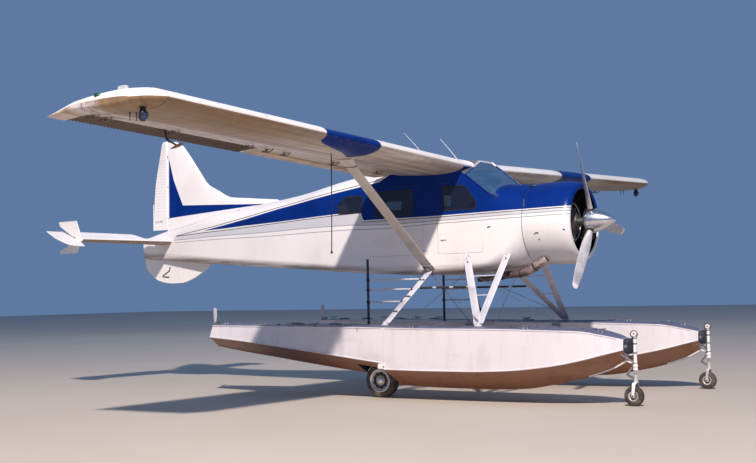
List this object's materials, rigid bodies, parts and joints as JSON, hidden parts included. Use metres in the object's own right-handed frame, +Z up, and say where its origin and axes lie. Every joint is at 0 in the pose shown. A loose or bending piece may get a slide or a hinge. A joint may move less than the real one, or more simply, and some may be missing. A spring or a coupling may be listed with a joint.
{
  "type": "amphibious floatplane",
  "caption": "Single-engine high-wing floatplane with braced wings, a radial engine and floats that carry retractable wheels, parked on its wheels.",
  "frame": {"origin": "on the ground, midway between the two sides and midway along the length", "axes": "+X forward to the propeller, +Y to the port side, +Z up"},
  "size_m": [10.207, 14.63, 4.402],
  "materials": {
    "white_paint": "white gloss paint over aluminium sheet",
    "cowl_paint": "cobalt blue over white gloss paint",
    "float_paint": "pale grey paint over aluminium sheet",
    "blue_paint": "dark blue paint",
    "bare_metal": "polished bare metal",
    "dark_metal": "heat-stained and greasy steel",
    "engine_metal": "grey engine enamel and oily castings",
    "glass": "clear acrylic",
    "tyre": "dusty rubber on metal rims",
    "seat_fabric": "woven cloth",
    "panel_black": "matt black",
    "rope": "dark braided rope"
  },
  "bodies": {
    "airframe": {"aft_window_left": "glass", "aft_window_right": "glass", "boarding_ladder_left": "blue_paint", "boarding_ladder_right": "blue_paint", "cowling": "cowl_paint", "engine": "engine_metal", "exhaust_pipe": "dark_metal", "fin": "white_paint", "float_left": "float_paint", "float_right": "float_paint", "front_float_strut_left": "float_paint", "front_float_strut_right": "float_paint", "front_seat_left": "seat_fabric", "front_seat_right": "seat_fabric", "front_spreader_bar": "float_paint", "fuselage": "white_paint", "hand_line_left": "rope", "hand_line_right": "rope", "instrument_panel": "panel_black", "lift_strut_left": "white_paint", "lift_strut_right": "white_paint", "main_gear_arm_left": "dark_metal", "main_gear_arm_right": "dark_metal", "nose_leg_left": "white_paint", "nose_leg_right": "white_paint", "rear_bench": "seat_fabric", "rear_float_strut_left": "float_paint", "rear_float_strut_right": "float_paint", "rear_spreader_bar": "float_paint", "tailplane": "white_paint", "ventral_fin": "white_paint", "windscreen": "glass", "wing_left": "white_paint", "wing_right": "white_paint"},
    "propeller": {"propeller_blades": "bare_metal", "spinner": "bare_metal"},
    "rudder_body": {"rudder": "white_paint"},
    "elevators": {"elevator_right": "white_paint", "elevator_left": "white_paint"},
    "front_door_body_right": {"front_door_right": "white_paint", "front_door_glass_right": "glass"},
    "rear_door_body_right": {"rear_door_right": "white_paint", "rear_door_glass_right": "glass"},
    "flap_body_right": {"flap_right": "white_paint"},
    "aileron_body_right": {"aileron_right": "white_paint"},
    "water_rudder_body_right": {"water_rudder_right": "float_paint"},
    "main_wheel_body_right": {"main_wheel_right": "tyre"},
    "nose_fork_body_right": {"nose_fork_right": "bare_metal"},
    "nose_wheel_body_right": {"nose_wheel_right": "tyre"},
    "front_door_body_left": {"front_door_left": "white_paint", "front_door_glass_left": "glass"},
    "rear_door_body_left": {"rear_door_left": "white_paint", "rear_door_glass_left": "glass"},
    "flap_body_left": {"flap_left": "white_paint"},
    "aileron_body_left": {"aileron_left": "white_paint"},
    "water_rudder_body_left": {"water_rudder_left": "float_paint"},
    "main_wheel_body_left": {"main_wheel_left": "tyre"},
    "nose_fork_body_left": {"nose_fork_left": "bare_metal"},
    "nose_wheel_body_left": {"nose_wheel_left": "tyre"}
  },
  "joints": [
    {"name": "propeller_spin", "type": "hinge", "parent": "airframe", "child": "propeller", "pos_m": [3.8175, 0, 2.53], "axis": [1, 0, 0], "continuous": true},
    {"name": "front_door_swing_right", "type": "hinge", "parent": "airframe", "child": "front_door_body_right", "pos_m": [2.3075, -0.61, 2.6], "axis": [0, 0, 1], "range_deg": [0, 78]},
    {"name": "rear_door_swing_right", "type": "hinge", "parent": "airframe", "child": "rear_door_body_right", "pos_m": [1.2875, -0.61, 2.6], "axis": [0, 0, 1], "range_deg": [0, 78]},
    {"name": "flap_turn_right", "type": "hinge", "parent": "airframe", "child": "flap_body_right", "pos_m": [0.80285, -2.3, 3.47064], "axis": [0, -0.9994, 0.0346], "range_deg": [-9, 31]},
    {"name": "aileron_turn_right", "type": "hinge", "parent": "airframe", "child": "aileron_body_right", "pos_m": [0.80285, -5.5, 3.58127], "axis": [0, -0.9994, 0.0346], "range_deg": [-15, 15]},
    {"name": "water_rudder_lift_right", "type": "hinge", "parent": "airframe", "child": "water_rudder_body_right", "pos_m": [-2.1445, -1.49, 1.095], "axis": [0, -1, 0], "range_deg": [0, 170]},
    {"name": "main_wheel_spin_right", "type": "hinge", "parent": "airframe", "child": "main_wheel_body_right", "pos_m": [1.0695, -1.49, 0.25], "axis": [0, 1, 0], "continuous": true},
    {"name": "nose_castor_right", "type": "hinge", "parent": "airframe", "child": "nose_fork_body_right", "pos_m": [4.9935, -1.49, 0.305], "axis": [0, 0, 1], "continuous": true},
    {"name": "nose_wheel_spin_right", "type": "hinge", "parent": "nose_fork_body_right", "child": "nose_wheel_body_right", "pos_m": [4.9655, -1.49, 0.129], "axis": [0, 1, 0], "continuous": true},
    {"name": "front_door_swing_left", "type": "hinge", "parent": "airframe", "child": "front_door_body_left", "pos_m": [2.3075, 0.61, 2.6], "axis": [0, 0, -1], "range_deg": [0, 78]},
    {"name": "rear_door_swing_left", "type": "hinge", "parent": "airframe", "child": "rear_door_body_left", "pos_m": [1.2875, 0.61, 2.6], "axis": [0, 0, -1], "range_deg": [0, 78]},
    {"name": "flap_turn_left", "type": "hinge", "parent": "airframe", "child": "flap_body_left", "pos_m": [0.80285, 2.3, 3.47064], "axis": [0, -0.9994, -0.0346], "range_deg": [-9, 31]},
    {"name": "aileron_turn_left", "type": "hinge", "parent": "airframe", "child": "aileron_body_left", "pos_m": [0.80285, 5.5, 3.58127], "axis": [0, 0.9994, 0.0346], "range_deg": [-15, 15]},
    {"name": "water_rudder_lift_left", "type": "hinge", "parent": "airframe", "child": "water_rudder_body_left", "pos_m": [-2.1445, 1.49, 1.095], "axis": [0, -1, 0], "range_deg": [0, 170]},
    {"name": "main_wheel_spin_left", "type": "hinge", "parent": "airframe", "child": "main_wheel_body_left", "pos_m": [1.0695, 1.49, 0.25], "axis": [0, 1, 0], "continuous": true},
    {"name": "nose_castor_left", "type": "hinge", "parent": "airframe", "child": "nose_fork_body_left", "pos_m": [4.9935, 1.49, 0.305], "axis": [0, 0, 1], "continuous": true},
    {"name": "nose_wheel_spin_left", "type": "hinge", "parent": "nose_fork_body_left", "child": "nose_wheel_body_left", "pos_m": [4.9655, 1.49, 0.129], "axis": [0, 1, 0], "continuous": true},
    {"name": "rudder_turn", "type": "hinge", "parent": "airframe", "child": "rudder_body", "pos_m": [-4.5525, 0, 3.5], "axis": [0, 0, 1], "range_deg": [-25, 25]},
    {"name": "elevator_turn", "type": "hinge", "parent": "airframe", "child": "elevators", "pos_m": [-4.7525, 0, 2.545], "axis": [0, 1, 0], "range_deg": [-44, 4]}
  ],
  "couplings": [
    {"joint": "aileron_turn_left", "follows": "aileron_turn_right", "ratio": 1},
    {"joint": "flap_turn_left", "follows": "flap_turn_right", "ratio": 1}
  ]
}
